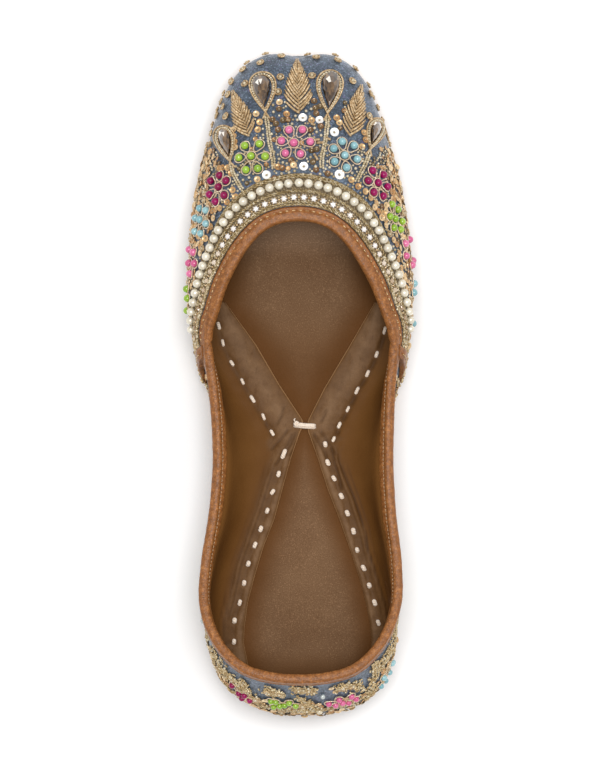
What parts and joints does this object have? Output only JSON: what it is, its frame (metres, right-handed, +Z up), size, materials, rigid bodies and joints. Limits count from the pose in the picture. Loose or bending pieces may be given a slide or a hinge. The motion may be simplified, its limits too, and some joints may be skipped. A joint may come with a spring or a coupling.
{
  "type": "mojari shoe",
  "caption": "Flat slip-on mojari with a low leather heel, a beaded cloth vamp, leather bindings and folded lining flaps over a padded insole.",
  "frame": {"origin": "on the ground, under the middle of the shoe's length and breadth", "axes": "+Y along the shoe towards the toe, +Z up out of the shoe, +X to the right of somebody looking along +Y from above"},
  "size_m": [0.0828, 0.2468, 0.0531],
  "materials": {
    "outsole_leather": "matte",
    "heel_leather": "satin",
    "insole_leather": "satin",
    "lining_leather": "satin",
    "flap_leather": "satin",
    "binding_leather": "satin",
    "slate_cloth": "satin",
    "gold_wire": "polished",
    "pearl": "gloss",
    "crystal": "polished",
    "glass_bead": "gloss",
    "sequin": "gloss",
    "thread": "matte"
  },
  "bodies": {
    "root": {"outsole": "outsole_leather", "heel_lift": "heel_leather", "insole": "insole_leather", "upper": "lining_leather", "vamp_overlay": "slate_cloth", "vamp_binding": "binding_leather", "quarter_binding": "binding_leather", "flap_left": "flap_leather", "flap_right": "flap_leather"}
  },
  "joints": []
}
